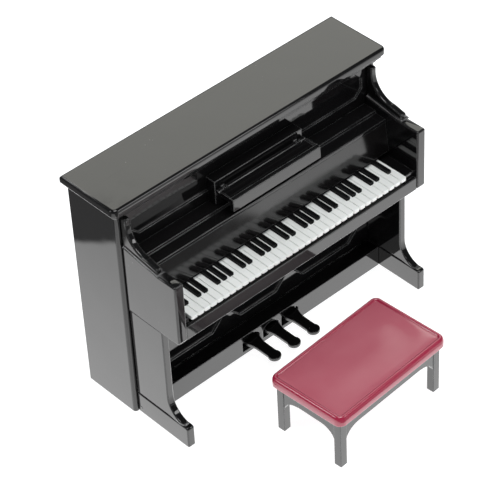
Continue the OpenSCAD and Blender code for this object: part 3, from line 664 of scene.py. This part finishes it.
low, high = corners("white_keys")
pitch = (high.x - low.x) / white_count
bm = bmesh.new()
for i in range(white_count):
    x = low.x + i * pitch
    key = block(bm, (x + groove_w / 2, low.y, low.z), (x + pitch - groove_w / 2, high.y, high.z))
    round_off(bm, uprights(edges_at(key), low.y + near), key_nose_r, 3)
    key = [v for v in bm.verts if x * mm < v.co.x < (x + pitch) * mm]
    key_top = [e for e in edges_at(key)
               if all(v.co.z > (high.z - near) * mm for v in e.verts)
               and not all(v.co.y > (high.y - near) * mm for v in e.verts)]
    round_off(bm, key_top, key_top_r, 3)
block(bm, (low.x + 0.1, low.y + 0.5, low.z + 0.05), (high.x - 0.1, high.y - 0.05, high.z - 0.5))
piece(bm, "white_key_moulding", "case", key_white, ["white_keys"])

# --- Black keys --------------------------------------------------------------------
# Narrow black keys with straight fronts in groups of two and three, on a strip that is
# hidden under the fallboard.
key_black = plastic("black_key_styrene", (0.003, 0.003, 0.0035), (0.005, 0.005, 0.005),
                    rough=0.30, rough_more=0.2, bump=0.05, specular=0.06, highlight_wear_amount=0.15)
octave = 7
black_after = (0, 2, 3, 5, 6)    # A, C, D, F and G, counted from an A
black_w = 1.7
black_edge_r = 0.12
strip_depth = 2.2
low, high = corners("black_keys")
low.z -= 0.1                     # sinks the keys into the white ones
keys_x = corners("white_keys")[0].x
bm = bmesh.new()
block(bm, (low.x + 0.05, high.y - strip_depth, low.z),
      (high.x - 0.05, high.y - 0.05, high.z - 0.05))
for i in range(white_count - 1):
    if i % octave not in black_after:
        continue
    x = keys_x + (i + 1) * pitch
    key = block(bm, (x - black_w / 2, low.y, low.z), (x + black_w / 2, high.y - 0.5, high.z))
    key_edges = [e for e in edges_at(key) if any(v.co.z > (high.z - near) * mm for v in e.verts)]
    round_off(bm, key_edges, black_edge_r, 2)
piece(bm, "black_key_moulding", "case", key_black, ["black_keys"])

# --- Fallboard and ledge -----------------------------------------------------------
# The sloping board behind the keys, less polished than the rest, so that the keys show
# softly in it, and the stepped ledge over it.
satin_black = plastic("satin_black_styrene", (0.0036, 0.0034, 0.0036), (0.0064, 0.0058, 0.0058),
                      rough=0.11, rough_more=0.10, bump=0.08, peel=(700.0, 0.012))
moulding("fallboard", "fallboard_moulding", 0.25, finish=satin_black)
moulding("ledge", "ledge_moulding", 0.3)

# --- Music desk --------------------------------------------------------------------
# A block fixed to the upper front, and a shelf with a deep lip hinged to it.
moulding("desk_rail", "desk_block", 0.3)
moulding("music_desk", "desk_shelf", 0.25, body="desk_body")

# --- Pedals ------------------------------------------------------------------------
# Three flat pedals on one axle, each narrow in its neck with a round end, and the small
# bracket behind the plinth that holds the axle.
moulding("pedal_bracket", "pedal_bracket_moulding", 0.1, segments=2)
for which in ("left", "centre", "right"):
    moulding("pedal_" + which, "pedal_%s_lever" % which, 0.3, body="pedal_%s_body" % which)

# --- Bench -------------------------------------------------------------------------
# A black frame of four legs and bracketed aprons, and a crimson seat with a bead along
# its top edge. Only the frame's long outer corners are rounded.
frame_edge_r = 0.22
bm = copy_of("bench_frame")
bmesh.ops.recalc_face_normals(bm, faces=bm.faces)
outer = [e for e in sharp_edges(bm, 50) if e.is_convex and e.calc_length() > 1.5 * mm]
round_off(bm, outer, frame_edge_r, 3)
piece(bm, "bench_frame_moulding", "bench", gloss_black, ["bench_frame"])

# The seat shows in the black gloss as a greyed colour, a painted reflection, and its edges carry
# the painted edge highlight.
seat_crimson = plastic("crimson_styrene", (0.36, 0.020, 0.058), (0.33, 0.017, 0.050), rough=0.16,
                       rough_more=0.12, bump=0.06, hairlines=0.35, dust=0.4, specular=0.7,
                       highlight_wear_colour=(0.60, 0.16, 0.24), highlight_wear_amount=0.3, mirrored=(0.42, 0.36, 0.37))

# A painted sheen: a paler crimson painted on the flat of the seat and along the crest of
# its bead, the faces that look up towards the lights. The slopes between them are left out.
painted_sheen, sheen_in, sheen_out = shader_group(
    "painted_top_sheen",
    [("Vector", "NodeSocketVector", None), ("Colour", "NodeSocketColor", None),
     ("Sheen", "NodeSocketColor", None), ("Amount", "NodeSocketFloat", 1.0)],
    [("Colour", "NodeSocketColor")])
slope = painted_sheen.nodes.new("ShaderNodeNewGeometry")
slope_axes = painted_sheen.nodes.new("ShaderNodeSeparateXYZ")
painted_sheen.links.new(slope.outputs["Normal"], slope_axes.inputs["Vector"])
level = painted_sheen.nodes.new("ShaderNodeMapRange")
level.interpolation_type = "SMOOTHSTEP"
level.inputs["From Min"].default_value = 0.90
level.inputs["From Max"].default_value = 0.985
painted_sheen.links.new(slope_axes.outputs["Z"], level.inputs["Value"])
seat_axes = painted_sheen.nodes.new("ShaderNodeSeparateXYZ")
painted_sheen.links.new(sheen_in.outputs["Vector"], seat_axes.inputs["Vector"])
upper = painted_sheen.nodes.new("ShaderNodeMapRange")
upper.inputs["From Min"].default_value = 23.6 * mm
upper.inputs["From Max"].default_value = 24.0 * mm
painted_sheen.links.new(seat_axes.outputs["Z"], upper.inputs["Value"])
cloudy = painted_sheen.nodes.new("ShaderNodeMapRange")
cloudy.inputs["From Min"].default_value = 0.3
cloudy.inputs["From Max"].default_value = 0.6
cloudy.inputs["To Min"].default_value = 0.82
clouds = noise_node(painted_sheen, sheen_in.outputs["Vector"], 60.0, 3.0)
painted_sheen.links.new(clouds, cloudy.inputs["Value"])
# painted sheen: strongest where the normal points straight up, on the top of the seat only
on_top = math_node(painted_sheen, "MULTIPLY", level.outputs["Result"], upper.outputs["Result"])
thickness = math_node(painted_sheen, "MULTIPLY", cloudy.outputs["Result"], sheen_in.outputs["Amount"])
sheen_mask = math_node(painted_sheen, "MULTIPLY", on_top, thickness)
blend = painted_sheen.nodes.new("ShaderNodeMix")
blend.data_type = "RGBA"
painted_sheen.links.new(sheen_mask, blend.inputs["Factor"])
painted_sheen.links.new(sheen_in.outputs["Colour"], blend.inputs["A"])
painted_sheen.links.new(sheen_in.outputs["Sheen"], blend.inputs["B"])
painted_sheen.links.new(blend.outputs["Result"], sheen_out.inputs["Colour"])

# The painted sheen goes in just before the last mix, which holds the colour that glossy rays see.
tree = seat_crimson.node_tree
last_mix = tree.nodes["Principled BSDF"].inputs["Base Color"].links[0].from_node
sheened = tree.nodes.new("ShaderNodeGroup")
sheened.node_tree = painted_sheen
sheened.inputs["Sheen"].default_value = (0.46, 0.122, 0.158, 1)
tree.links.new(tree.nodes["Texture Coordinate"].outputs["Object"], sheened.inputs["Vector"])
tree.links.new(last_mix.inputs["A"].links[0].from_socket, sheened.inputs["Colour"])
tree.links.new(sheened.outputs["Colour"], last_mix.inputs["A"])

seat_half_x, seat_half_y, seat_corner_r = 27.49, 16.49, 3.0
smallest_corner_r = 0.8
seat_under, seat_shoulder, seat_crest, seat_flat = 20.9, 22.5, 24.8, 24.42
crest_in = 1.3                   # how far the top of the bead lies inside the outline
bench_x, bench_y, bench_turn = -3.1, -65.9, 3.5


def seat_ring(bm, inset, z):
    """One level loop of the seat's outline, set in by an amount; returns its face."""
    made = bmesh.ops.create_grid(bm, x_segments=1, y_segments=1, size=1.0)["verts"]
    half_x, half_y = (seat_half_x - inset) * mm, (seat_half_y - inset) * mm
    bmesh.ops.scale(bm, verts=made, vec=(half_x, half_y, 1))
    bmesh.ops.translate(bm, verts=made, vec=(0, 0, z * mm))
    radius = max(seat_corner_r - inset, smallest_corner_r) * mm
    bmesh.ops.bevel(bm, geom=made, offset=radius, segments=8, offset_type="OFFSET",
                    profile=0.5, affect="VERTICES", material=-1)
    in_plane = [f for f in bm.faces if all(abs(v.co.z - z * mm) < 1e-9 for v in f.verts)]
    return max(in_plane, key=lambda f: f.calc_area())


# The seat's section, from its lower edge over the bead to the flat: how far in, how high.
section = [(0.45, seat_under), (0.16, seat_under + 0.08), (0.02, seat_under + 0.28),
           (0.0, seat_under + 0.6)]
bead_h = seat_crest - seat_shoulder
for angle in range(0, 91, 9):
    t = math.radians(angle)
    section.append((crest_in * (1 - math.cos(t)), seat_shoulder + bead_h * math.sin(t)))
section += [(1.62, 24.74), (1.86, 24.57), (2.06, 24.34), (2.20, 24.24), (2.36, 24.24),
            (2.6, 24.31), (3.1, 24.37), (4.2, 24.40), (8.0, seat_flat)]
bm = bmesh.new()
loops = []
for inset, z in section:
    face = seat_ring(bm, inset, z)
    loops.append(list(face.edges))
    if inset not in (section[0][0], section[-1][0]):
        bmesh.ops.delete(bm, geom=[face], context="FACES_ONLY")
for one, next_one in zip(loops, loops[1:]):
    bmesh.ops.bridge_loops(bm, edges=one + next_one)
cap_inset = 0.5
bmesh.ops.inset_individual(bm, faces=[face], thickness=cap_inset * mm)
bench_place = Matrix.Translation(Vector((bench_x, bench_y, 0)) * mm) @ Matrix.Rotation(
    math.radians(bench_turn), 4, "Z")
bmesh.ops.transform(bm, matrix=bench_place, verts=bm.verts)
piece(bm, "bench_seat_moulding", "bench", seat_crimson, ["bench_seat"], angle=60)

# The scar left where the seat was cut from its runner, low on one short side.
scar = plastic("cut_runner_scar", (0.030, 0.004, 0.008), (0.05, 0.006, 0.012), rough=0.5,
               rough_more=0.2)
scar_y, scar_up, scar_sunk = -0.8, 0.55, 0.14
at_scar = Matrix.Translation(
    Vector((-(seat_half_x - scar_sunk), scar_y, seat_under + scar_up)) * mm)
moulders_mark("bench_seat_scar", "bench", scar, bench_place @ at_scar, 0.42, 0.30, 0.22, 20)
